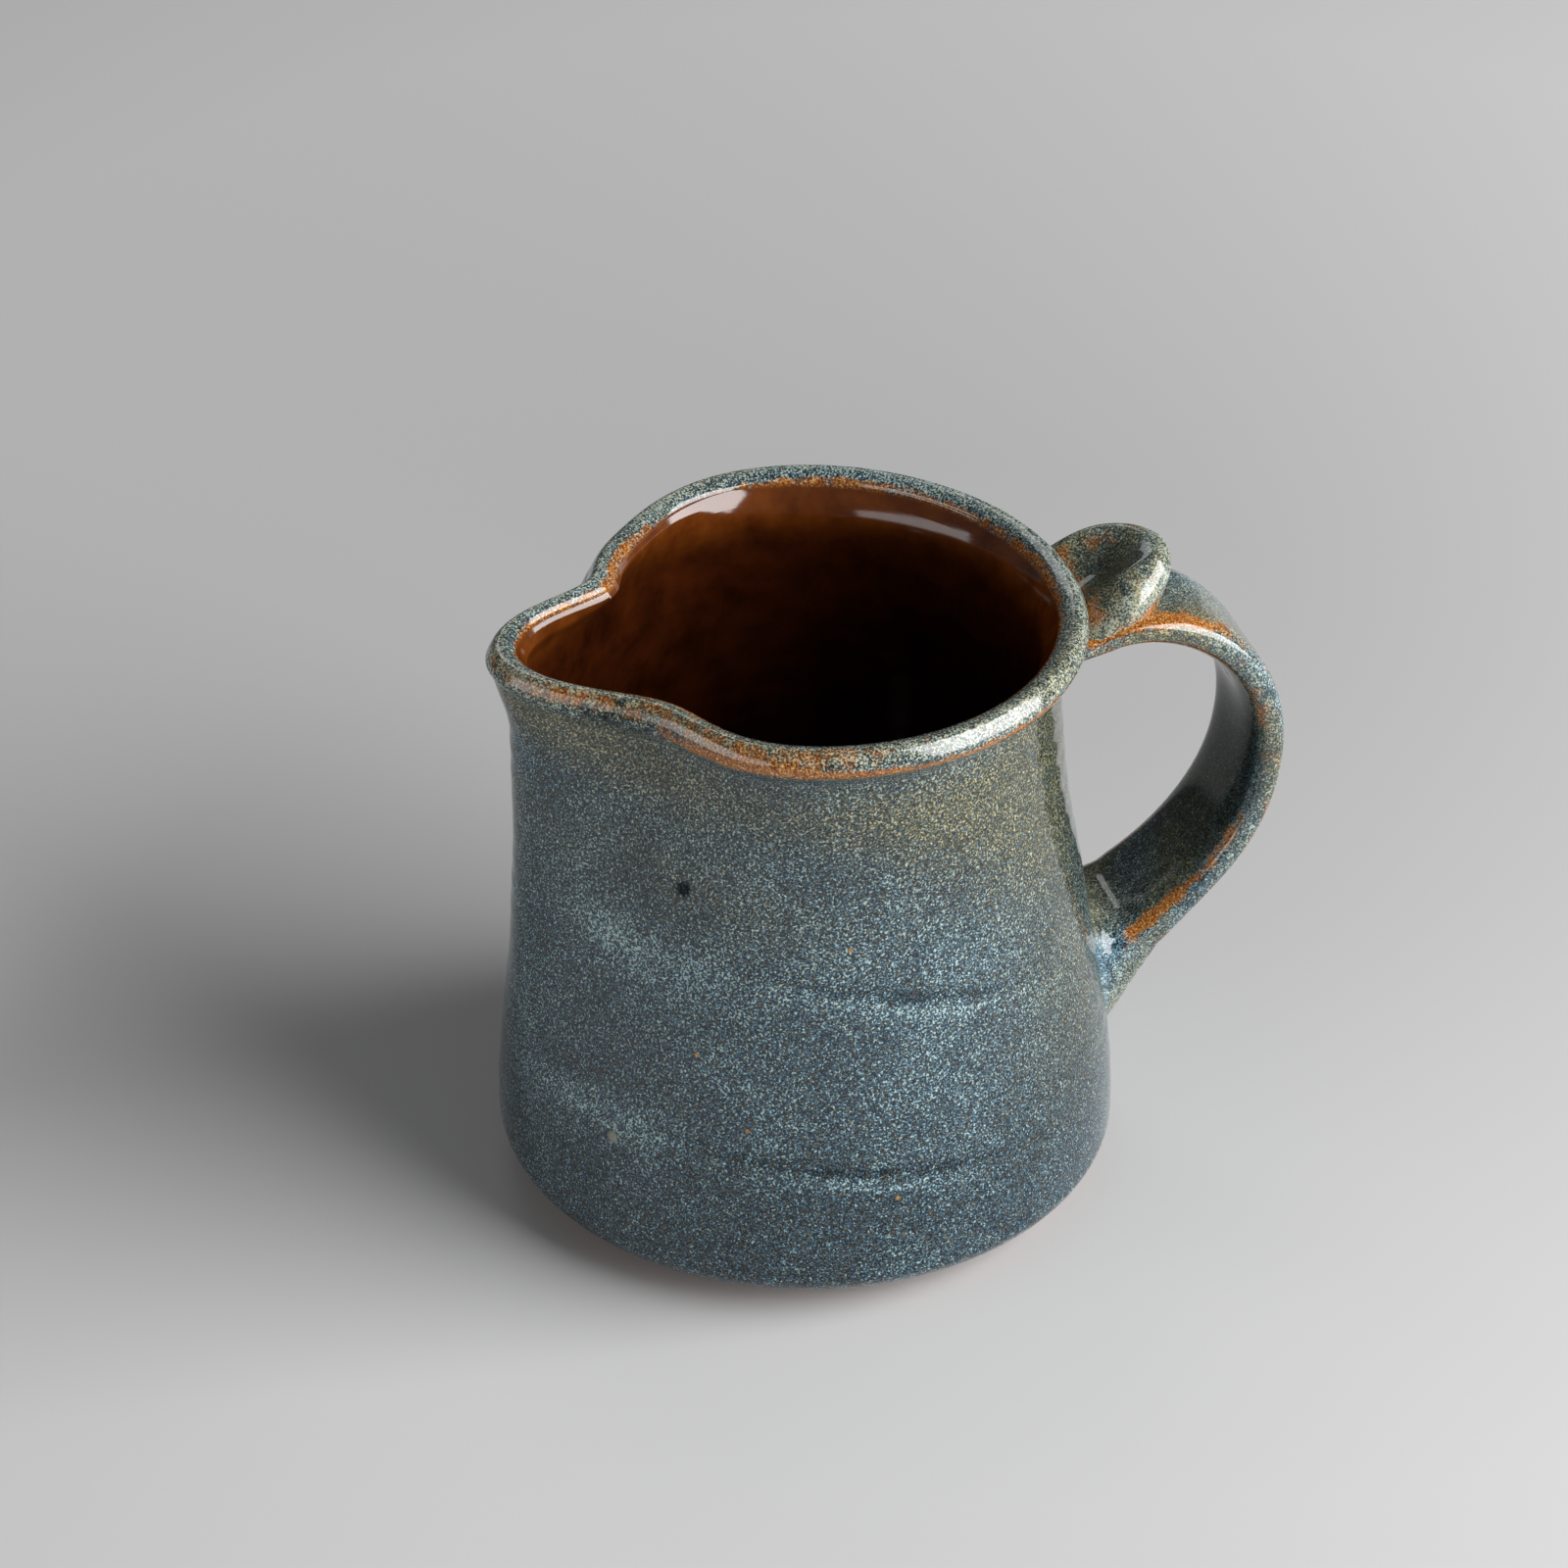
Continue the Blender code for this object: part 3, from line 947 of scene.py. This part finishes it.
@dataclass(frozen=True)
class CoatMarks:
    """Where the outer coat is thin, thick or broken, and where shade is painted on it, worked out from
    places on the wall.

    Angles are in radians, round from the handle. Heights are in millimetres from the table, and
    from_top in millimetres along the wall from the top of the lip, negative on the outside.
    """

    angle: Array
    height: Array
    from_top: Array

    def away(self, degrees: float) -> Array:
        """Degrees from one direction, between -180 and 180."""
        return np.mod(np.degrees(self.angle) - degrees + 180, 360) - 180

    def near(self, side: Side) -> Array:
        """A bell round one place on the wall."""
        degrees, spread = side.value
        return bell(self.away(degrees), spread)

    def along(self, place: float | Array, half: float) -> Array:
        """A bell round one place on the way over the lip, in millimetres like from_top."""
        return bell(self.from_top - place, half)

    def bands(self, bands: tuple[Band, ...]) -> Array:
        """Adds up level bands.

        Args:
            bands: The bands.

        Returns:
            Their sum, one in the middle of each band.
        """
        total = np.zeros(1)
        for band in bands:
            rise = self.height - band.height - band.slope * self.away(band.turn)
            total = total + bell(rise, band.half) * bell(self.away(band.middle), band.spread)
        return total

    def drift(self, kind: Drift) -> Array:
        """An unevenness round the wall."""
        seed, scale = kind.value
        return wave_noise(self.angle, self.height / scale, seed)

    def all(self) -> dict[str, Array]:
        """Works out the five marks that the speckled glaze reads.

        Returns:
            Each mark's name with its values between zero and one.
        """
        outside = smooth_step(0.5, -0.5, self.from_top)
        lip = self.along(-1.2, 3.2)
        marks = {
            "tan": self.tan() + lip * (0.3 + 0.5 * self.near(Side.OLIVE_LIP)),
            "pale": self.pale() * outside + lip * (0.95 - 0.35 * self.near(Side.DULL_LIP)),
            "deep": self.deep() * outside,
            "breaks": self.breaks(),
            "amber": smooth_step(2.8, 3.9, self.from_top + 0.4 * self.drift(Drift.AMBER_EDGE)),
        }
        return {key: np.clip(mark, 0, 1) for key, mark in marks.items()}

    def tan(self) -> Array:
        """Lays olive in soft patches, more of it under the lip and most on the right below the lip.

        Returns:
            The mark, not yet clipped.
        """
        climb = smooth_step(52, 92, self.height)
        patches = 0.5 + 0.4 * self.drift(Drift.OLIVE_PATCHES)
        right = self.near(Side.OLIVE_NECK) * bell(self.height - 84, 14)
        edge = self.near(Side.OLIVE_SIDE) * smooth_step(10, 40, self.height)
        below = 0.3 + 0.7 * smooth_step(-4.5, -7.0, self.from_top)
        return 0.15 + below * (0.75 * climb * patches + 0.55 * right + 0.5 * edge)

    def pale(self) -> Array:
        """Two wiped bands on the left, the crests of two throwing lines and the spout's mottle."""
        wiped, crests = self.bands(WIPED_BANDS), self.bands(LINE_CRESTS)
        return 0.75 * wiped + 0.6 * crests + 0.9 * self.mottle()

    def mottle(self) -> Array:
        """The place beside the spout where navy and cream lie in blotches side by side."""
        return self.near(Side.MOTTLE) * self.along(-4.0, 2.6)

    def deep(self) -> Array:
        """Thickens the glaze in two throwing lines, in the mottle and in a run on the lip, and paints
        shade low down and on the right edge.

        Returns:
            The mark, not yet clipped.
        """
        run = self.near(Side.RUN) * self.along(-2.0, 1.6)
        # Painted shade: darker towards the bottom and along the right edge.
        low = smooth_step(46, 12, self.height)
        edge = self.near(Side.SHADED_RIGHT_EDGE) * smooth_step(10, 40, self.height)
        return 0.55 * self.bands(LINE_GROOVES) + self.mottle() + run + 0.3 * low + 0.25 * edge

    def breaks(self) -> Array:
        """Breaks the glaze to rust and gold.

        It breaks on the lip's lower outer edge, mostly in front, on the lip's worn top, in cream by the
        spout, and inside where the liner starts.

        Returns:
            The mark, not yet clipped.
        """
        uneven = 0.75 + 0.35 * self.drift(Drift.RUST)
        edge = self.along(-4.8 - 0.3 * self.drift(Drift.LOWER_EDGE), 0.9)
        front = (0.35 + 0.75 * self.near(Side.RUSTY_EDGE)) * (1 - 0.9 * self.near(Side.PLAIN_EDGE))
        worn = self.along(-1.8 - 0.5 * self.drift(Drift.WORN_LIP), 2.6) * self.near(Side.WORN_LIP)
        cream = self.along(-1.5, 1.6) * self.near(Side.CREAM)
        inner = smooth_step(1.0, 2.8, self.from_top + 0.6 * self.drift(Drift.INNER_EDGE))
        rust = edge * front * uneven + 0.74 * worn * (0.4 + 0.6 * uneven)
        return rust + 0.58 * inner + 0.75 * cream * uneven


@dataclass
class Vessel:
    """The thrown body with its two coats of glaze."""

    form: ThrownForm
    coat: float = 0.5 * MM
    seat_gap: float = 0.3 * MM
    glaze_line: float = 4.2 * MM
    lip_dip: float = 4.0 * MM
    gold: float = 0.8
    gold_depth: float = 7.0 * MM
    bare_step: float = 0.3 * MM
    base_ring: float = 0.6
    clay_rough: float = 0.3
    under_step: int = 4

    def lines(self) -> tuple[Array, Array, Array]:
        """Splits the glazed line where the coats meet.

        Returns:
            The line outside and over the lip, inside down to the dip, and inside below it.
        """
        form = self.form
        outside = form.outside[form.outside[:, 1] > self.glaze_line]
        over = np.concatenate([outside, form.lip_line()])
        inside = form.inner_line()
        below = form.height - self.lip_dip
        return over, inside[inside[:, 1] > below], inside[inside[:, 1] <= below]

    def shell(self, line: Array) -> tuple[Array, Array]:
        """A thin closed outline: the line, and a coarser one back along it, one coat further in.

        Args:
            line: (radius, height) points of the glazed face.

        Returns:
            The outline's points, and for each the row of the line that it belongs to.
        """
        rows = np.arange(len(line))
        back = np.unique(np.append(rows[:: self.under_step], rows[-1]))[::-1]
        under = line - self.coat * line_normals(line)
        return np.concatenate([line, under[back]]), np.concatenate([rows, back])

    def build(self, blue: bpy.types.Material, amber: bpy.types.Material, clay: bpy.types.Material) -> None:
        """Builds the outer coat, the liner and the clay, and seats them on the frame.

        Args:
            blue: The outer coat's material.
            amber: The liner's material.
            clay: The bare clay's material.
        """
        over, dipped, inside = self.lines()
        self.outer_coat(over, dipped, blue)
        self.liner(dipped, inside, amber)
        self.clay_body(over, dipped, inside, clay)

    def outer_coat(self, over: Array, dipped: Array, finish: bpy.types.Material) -> None:
        """Builds the blue coat: outside, over the lip and a little way down inside.

        Args:
            over: The line outside and over the lip.
            dipped: The line inside, down to the dip.
            finish: The coat's material.
        """
        line = np.concatenate([over, dipped])
        outline, rows = self.shell(line)
        steps = np.linalg.norm(np.diff(line, axis=0), axis=1)
        along = np.concatenate([[0.0], np.cumsum(steps)])
        top = along[np.argmax(line[:, 1])]
        angle = round_angles(self.form.columns)
        marks = CoatMarks(angle, line[:, 1:] / MM, (along - top)[:, None] / MM).all()
        marks = {key: mark[rows] for key, mark in marks.items()}
        obj = ring_mesh("outer_glaze_coat", self.form.turned(outline), True, marks)
        seat_piece(obj, ["outer_glaze"], finish)

    def liner(self, dipped: Array, inside: Array, finish: bpy.types.Material) -> None:
        """Builds the amber coat from the dip down over the floor.

        Args:
            dipped: The line inside, down to the dip.
            inside: The line below it.
            finish: The coat's material.
        """
        line = np.concatenate([dipped[-1:], inside])
        outline, rows = (part[::-1] for part in self.shell(line))
        turn = len(outline) - len(line)
        outline, rows = (np.concatenate([part[turn:], part[:turn]]) for part in (outline, rows))
        points = self.form.turned(outline)
        top = smooth_step(-self.gold_depth, 0.0, line[:, 1:] - line[0, 1])
        marks = {"amber": self.gold * top[rows] + np.zeros((1, self.form.columns))}
        obj = ring_mesh("amber_liner_coat", points, False, marks)
        seat_piece(obj, ["liner_glaze"], finish)

    def clay_body(self, over: Array, dipped: Array, inside: Array, finish: bpy.types.Material) -> None:
        """Builds the clay between the coats, which shows as a bare line at the foot and underneath.

        Args:
            over: The line outside and over the lip.
            dipped: The line inside, down to the dip.
            inside: The line below it.
            finish: The clay's material.
        """
        form = self.form
        line = np.concatenate([over, dipped, inside])[:: self.under_step]
        depth = self.coat + self.seat_gap
        core = line - depth * line_normals(line)
        foot = form.outside[form.outside[:, 1] <= self.glaze_line]
        bare = foot - np.array([[self.bare_step, 0.0]])
        base = np.array([[share * form.foot_radius, 0.0] for share in (POLE_SHARE, self.base_ring)])
        outline = np.concatenate([base, bare, core])
        obj = ring_mesh("bare_clay_body", form.turned(outline, self.clay_rough), False, {})
        seat_piece(obj, ["thrown_body"], finish)


@dataclass(frozen=True)
class ThumbRing:
    """One cross-section of the thumb rest, in millimetres, with its roll in degrees."""

    reach: float
    height: float
    width: float
    thickness: float
    dish: float
    roll: float


THUMB_RINGS = (
    ThumbRing(39.5, 91.9, 19.5, 4.2, 0.4, 12.0),
    ThumbRing(43.0, 93.8, 20.8, 6.6, 2.2, 16.0),
    ThumbRing(46.5, 95.5, 20.6, 8.6, 3.7, 16.0),
    ThumbRing(49.5, 96.7, 19.4, 10.2, 3.9, 15.0),
    ThumbRing(52.0, 97.3, 17.2, 10.8, 2.3, 14.0),
    ThumbRing(54.2, 97.5, 14.0, 10.6, 0.8, 13.0),
    ThumbRing(56.0, 97.3, 9.8, 9.2, 0.1, 13.0),
    ThumbRing(57.1, 97.0, 5.0, 5.8, 0.0, 13.0),
)


@dataclass
class Handle:
    """The pulled strap and the thumb rest that lies on its top."""

    form: ThrownForm
    width: float = 21.3 * MM
    thickness: float = 6.5 * MM
    groove: float = 0.8 * MM
    grip_reach: float = 73.3 * MM
    grip_height: float = 67.0 * MM
    upper_height: float = 85.6 * MM
    upper_seat: float = 89.6 * MM
    upper_thickness: float = 4.6 * MM
    lower_height: float = 28.6 * MM
    upper_size: tuple[float, float] = (20.5 * MM, 6.0 * MM)
    lower_size: tuple[float, float] = (23.5 * MM, 18.5 * MM)
    upper_leave: tuple[float, float] = (7.1 * MM, 13.0 * MM)
    lower_leave: tuple[float, float] = (9.7 * MM, 9.5 * MM)
    grip_rise: float = 23.1 * MM
    grip_drop: float = 20.9 * MM
    upper_spread: float = 1.2 * MM
    lower_spread: float = 2.4 * MM
    root_stand: tuple[float, float] = (1.6 * MM, 0.35 * MM)
    sink: float = 0.5 * MM
    flare_rings: int = 8
    flare_swell: float = 1.05
    thin_rings: int = 10
    root_rings: int = 3
    path_rows: int = 17
    strap_steps: int = 5
    thumb_steps: int = 6
    strap_seed: int = 23
    thumb_seed: int = 43
    ring: int = 64

    def outline(
        self,
        width: Array,
        thickness: Array,
        groove: Array,
        side: float = 0.6,
        face: float = 0.75,
        hollow: float = 1.0,
        shift: float = 0.0,
    ) -> Array:
        """Rings (across, up): a rounded strap whose upper face is hollowed by a groove.

        Args:
            width: Whole widths, one for each ring.
            thickness: Whole thicknesses.
            groove: Depths of the hollow.
            side: Power of the cosine across, where 1 is an ellipse and less is squarer.
            face: Power of the sine up.
            hollow: Power that narrows the groove.
            shift: Place of the groove's middle, as a share of the half width.

        Returns:
            Array of (rings, points, 2).
        """
        turn = round_angles(self.ring)
        across = np.sign(np.cos(turn)) * np.abs(np.cos(turn)) ** side
        up = np.sign(np.sin(turn)) * np.abs(np.sin(turn)) ** face
        bowl = np.clip(1 - ((across - shift) / (1 - abs(shift))) ** 2, 0, 1) ** hollow
        dip = np.asarray(groove)[:, None] * np.maximum(up, 0) * bowl
        width, thickness = (np.asarray(v)[:, None] for v in (width, thickness))
        return np.stack([across * width / 2, up * thickness / 2 - dip], axis=-1)

    def path(self) -> Array:
        """Draws the strap's middle line from the upper to the lower root.

        Returns:
            (x, z) points.
        """
        heights = (self.upper_height, self.lower_height)
        upper, lower = (np.array([self.form.radius_at(z), z]) for z in heights)
        grip = np.array([self.grip_reach, self.grip_height])
        over = bezier([upper, upper + self.upper_leave, grip + (0, self.grip_rise), grip], self.path_rows)
        under = bezier([grip, grip - (0, self.grip_drop), lower + self.lower_leave, lower], self.path_rows)
        return np.concatenate([over, under[1:]])

    def swept(self, path: Array, outlines: Array, roll: Array) -> Array:
        """Carries outlines along a path in the XZ plane.

        Args:
            path: (x, z) points.
            outlines: (rings, points, 2), across and up.
            roll: Turn of each ring about the path.

        Returns:
            Array of (rings, points, 3).
        """
        along = np.gradient(path, axis=0)
        along /= np.linalg.norm(along, axis=1, keepdims=True)
        across = outlines[..., 0] * np.cos(roll)[:, None] - outlines[..., 1] * np.sin(roll)[:, None]
        up = outlines[..., 0] * np.sin(roll)[:, None] + outlines[..., 1] * np.cos(roll)[:, None]
        x = path[:, :1] - along[:, 1:] * up
        z = path[:, 1:] + along[:, :1] * up
        return np.stack([x, across, z], axis=-1)

    def root(self, size: tuple[float, float], height: float, side: float, spread: float) -> Array:
        """Rings that spread a root of the strap on the wall, the last one sunk into it.

        Args:
            size: The root's width and height on the wall.
            height: Its middle.
            side: 1 if the strap's upper face meets the top of the root, -1 if the bottom.
            spread: How far the last ring reaches past the size.

        Returns:
            Three rings, from the strap inwards.
        """
        rings = []
        for grow, stand in zip((0.0, 0.5 * spread, spread), (*self.root_stand, -self.sink)):
            shape = self.outline([size[0] + 2 * grow], [size[1] + 2 * grow], [0.0])[0]
            rings.append(self.form.on_wall(shape[:, 0], height + side * shape[:, 1], stand))
        return np.stack(rings)

    def build(self, finish: bpy.types.Material) -> None:
        """Builds the strap and the thumb rest, and seats them on the frame."""
        self.strap(finish)
        self.thumb_rest(finish)

    def strap(self, finish: bpy.types.Material) -> None:
        """Builds the strap: rings along the path, with a spread root at both ends.

        Args:
            finish: The strap's material.
        """
        path = self.path()
        row = np.arange(len(path))
        flare = np.clip(1 - row[::-1] / self.flare_rings, 0, 1) ** 2
        top = np.clip(1 - row / self.thin_rings, 0, 1) ** 2
        width = self.width + (self.lower_size[0] - self.width) * flare
        thickness = self.thickness * (1 + self.flare_swell * flare)
        thickness = thickness + (self.upper_thickness - self.thickness) * top
        outlines = self.outline(width, thickness, self.groove * (1 - flare))
        rings = self.swept(path, outlines, np.zeros(len(path)))[self.root_rings : -self.root_rings]
        upper = self.root(self.upper_size, self.upper_seat, 1.0, self.upper_spread)[::-1]
        lower = self.root(self.lower_size, self.lower_height, -1.0, self.lower_spread)
        points = through_rings(np.concatenate([upper, rings, lower]), self.strap_steps)
        obj = ring_mesh("strap_handle", points, False, self.edge_marks(points, self.strap_seed))
        nodes = ["handle_strap", "upper_slip_bed", "lower_slip_bed"]
        seat_piece(obj, nodes, finish)

    def edge_marks(self, points: Array, seed: int) -> dict[str, Array]:
        """Rust where the coat breaks along the four edges, olive between them, painted shade and thicker
        glaze on the inner face.

        Args:
            points: Ring points as (rows, columns, 3).
            seed: Picks the unevenness.

        Returns:
            The marks that the speckled glaze reads.
        """
        turn = round_angles(self.ring)
        up, across = np.sin(turn), np.abs(np.cos(turn))
        edge = bell(np.abs(up) - 0.55, 0.26) * across**0.3
        rows = np.linspace(0.0, 9.0, len(points))[:, None]
        uneven = 0.68 + 0.3 * wave_noise(turn, rows, seed)
        patches = 0.3 * wave_noise(turn, rows, seed + 1)
        inner = smooth_step(-0.5, -0.85, up)
        inward = smooth_step(0.1, -0.3, up)
        upper = smooth_step(3.4, 1.8, rows)
        lower = smooth_step(4.5, 7.5, rows)
        # Painted highlight at the lower root: no rust there, and a paler colour.
        root_highlight = smooth_step(8.0, 8.5, rows)
        zero = np.zeros(points.shape[:2])
        rust = 0.22 + 0.08 * upper + (0.28 + 0.62 * upper + 0.75 * lower * inward) * edge
        return {
            "breaks": np.clip(rust * uneven * (1 - root_highlight) * (1 - 0.8 * inner), 0, 1),
            "tan": np.clip(0.42 + 0.45 * upper + 0.45 * inner + patches, 0, 1),
            "pale": 0.42 * (1 - inner) + 0.35 * inner * lower + 0.3 * root_highlight + zero,
            # Painted shade, partly thicker glaze: deep darkens the inner face, less low down, where pale
            # lifts it.
            "deep": inner * (1 - 0.8 * lower),
            "amber": zero,
        }

    def thumb_rest(self, finish: bpy.types.Material) -> None:
        """Builds the tongue: it leaves the lip, lies on the strap, dishes under a thumb and ends round.

        Args:
            finish: The tongue's material.
        """
        rings = THUMB_RINGS
        path = MM * np.array([(ring.reach, ring.height) for ring in rings])
        sizes = MM * np.array([(ring.width, ring.thickness, ring.dish) for ring in rings]).T
        roll = np.radians([ring.roll for ring in rings])
        outlines = self.outline(*sizes, side=0.9, face=0.75, hollow=1.3, shift=0.28)
        points = through_rings(self.swept(path, outlines, roll), self.thumb_steps)
        obj = ring_mesh("thumb_rest_tongue", points, False, self.thumb_marks(points))
        seat_piece(obj, ["thumb_rest", "thumb_slip_bed"], finish)

    def thumb_marks(self, points: Array) -> dict[str, Array]:
        """Pale on the tongue's end, a painted highlight over pale cream on its near rim, darker and olive
        in its dish, rust low down and at the lip.

        Args:
            points: Ring points as (rows, columns, 3).

        Returns:
            The marks that the speckled glaze reads.
        """
        marks = self.edge_marks(points, self.thumb_seed)
        turn = round_angles(self.ring)
        up, across = np.sin(turn), np.cos(turn)
        place = np.linspace(0.0, 1.0, len(points))[:, None]
        top, sides = np.clip(up, 0, 1), np.abs(across)
        end = smooth_step(0.6, 0.9, place)
        start = smooth_step(0.32, 0.12, place) * top
        # Darker and more olive in the dish, most in its middle.
        hollow = top**3 * bell(place - 0.4, 0.25)
        low = bell(up + 0.3, 0.4) * sides**0.3
        # Painted highlight along the near rim, over the rim's pale cream.
        rim_highlight = bell(up - 0.5, 0.35) * np.clip(-across, 0, 1)
        ridge = bell(up - 0.75, 0.2) * (1 - end)
        pale = 0.42 + 0.4 * end + 0.35 * sides + 0.6 * rim_highlight - 0.35 * hollow
        rust = 0.85 * low * (1 - 0.4 * end) + 0.5 * start + 0.25 * ridge
        marks["deep"] = 0.25 * hollow
        marks["tan"] = np.clip(0.5 + 0.4 * marks["tan"] + 0.25 * hollow, 0, 1)
        marks["pale"] = np.clip(pale, 0, 1)
        marks["breaks"] = np.clip(rust, 0, 1)
        return marks


# Studio


@dataclass(frozen=True)
class Softbox:
    """An area light, with its place in the camera's heading, its size in metres and its watts."""

    name: str
    place: Place
    size: tuple[float, float]
    power: float


LIGHTS = (
    Softbox("softbox_right", (1.15, -0.34, 0.62), (1.35, 1.15), 42.5),
    Softbox("fill_left", (-0.88, -0.66, 0.26), (1.20, 0.40), 4.0),
    Softbox("back_high", (-0.30, 1.10, 1.00), (0.60, 0.40), 1.3),
)


@dataclass(frozen=True)
class Studio:
    """A pale floor, soft lights and the camera at the photograph's angle."""

    azimuth: float = math.radians(17.0)
    elevation: float = math.radians(33.39)
    roll: float = math.radians(0.48)
    distance: float = 0.8007
    focal_px: float = 5200.0
    frame_px: float = 1600.0
    aim_px: tuple[float, float] = (823.8, 892.3)
    aim_height: float = 0.050
    sensor_mm: float = 36.0
    clip: tuple[float, float] = (0.01, 20.0)
    floor_half: float = 3.0
    floor_drop: float = 0.0001
    floor_roughness: float = 0.9
    # Middle and reach of the painted shade on the floor.
    shade_place: Place = (0.085, 0.150, 0.0)
    shade_reach: tuple[float, float] = (0.05, 0.26)
    surround: str = "#c8c8c8"
    surround_strength: float = 0.15

    def build(self) -> None:
        """Adds the floor, the lights, the world and the camera."""
        self.camera()
        self.floor()
        self.lights()
        self.world()

    def to_row(self, vector: Vector) -> Vector:
        """Turns a vector from the camera's heading into the row frame."""
        return Matrix.Rotation(-self.azimuth, 3, "Z") @ vector

    def camera(self) -> None:
        """Places the camera so that the aim point falls on its pixel of the photograph."""
        cos_e, sin_e = math.cos(self.elevation), math.sin(self.elevation)
        forward = Vector((0.0, cos_e, -sin_e))
        level, rise = Vector((1.0, 0.0, 0.0)), Vector((0.0, sin_e, cos_e))
        right = level * math.cos(self.roll) + rise * math.sin(self.roll)
        up = rise * math.cos(self.roll) - level * math.sin(self.roll)
        per_px = self.distance / self.focal_px
        off_x, off_y = (aim - self.frame_px / 2 for aim in self.aim_px)
        place = Vector((0, 0, self.aim_height)) - forward * self.distance
        place += up * (off_y * per_px) - right * (off_x * per_px)
        data = bpy.data.cameras.new("photo_camera")
        data.sensor_width = self.sensor_mm
        data.lens = self.sensor_mm * self.focal_px / self.frame_px
        data.clip_start, data.clip_end = self.clip
        camera = new_object("photo_camera", data)
        axes = Matrix([self.to_row(axis) for axis in (right, up, -forward)]).transposed()
        camera.matrix_world = Matrix.Translation(self.to_row(place)) @ axes.to_4x4()
        bpy.context.scene.camera = camera

    def floor(self) -> None:
        """Lays a wide pale table top that takes the shadow, with painted shade that darkens it round a
        place behind the pot.
        """
        half = self.floor_half
        corners = [(-half, -half), (half, -half), (half, half), (-half, half)]
        mesh = bpy.data.meshes.new("pale_floor")
        mesh.from_pydata([(x, y, -self.floor_drop) for x, y in corners], [], [(0, 1, 2, 3)])
        floor = new_object("pale_floor", mesh)
        nodes = NodeMaterial("pale_floor_painted_shade")
        # Painted shade: the floor is darkest at the place behind the pot and lightens out to the reach.
        away = nodes.remap(nodes.distance(self.shade_place), self.shade_reach)
        tone = nodes.ramp(away, FLOOR_SHADE_STOPS)
        mesh.materials.append(nodes.finish({"Base Color": tone, "Roughness": self.floor_roughness}))

    def lights(self) -> None:
        """Hangs a large softbox on the right, a weak fill on the left and a weaker one behind."""
        aim = Vector((0.0, 0.0, self.aim_height))
        for light in LIGHTS:
            data = bpy.data.lights.new(light.name, "AREA")
            data.shape = "RECTANGLE"
            data.size, data.size_y = light.size
            data.energy = light.power
            lamp = new_object(light.name, data)
            lamp.location = self.to_row(Vector(light.place))
            lamp.visible_camera = False
            lamp.rotation_euler = (lamp.location - aim).to_track_quat("Z", "Y").to_euler()

    def world(self) -> None:
        """Sets an even grey surround and the plain view transform."""
        world = bpy.data.worlds.new("grey_surround")
        world.use_nodes = True
        background = world.node_tree.nodes["Background"]
        background.inputs["Color"].default_value = linear(self.surround)
        background.inputs["Strength"].default_value = self.surround_strength
        bpy.context.scene.world = world
        bpy.context.scene.view_settings.view_transform = "Standard"


def main() -> None:
    """Loads the frame, builds the pitcher's pieces and the studio, and logs each piece's faces."""
    logging.basicConfig(level=logging.INFO, format="%(message)s")
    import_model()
    form = ThrownForm()
    blue = SpeckledGlaze().make([form.spot(*spot) for spot in SPOTS])
    Vessel(form).build(blue, AmberLiner().make(), BareClay().make())
    handle_glaze = SpeckledGlaze("speckled_handle_glaze", grain_mm=0.3, contrast=0.72)
    Handle(form).build(handle_glaze.make([]))
    Studio().build()
    bpy.context.view_layer.update()


if __name__ == "__main__":
    main()
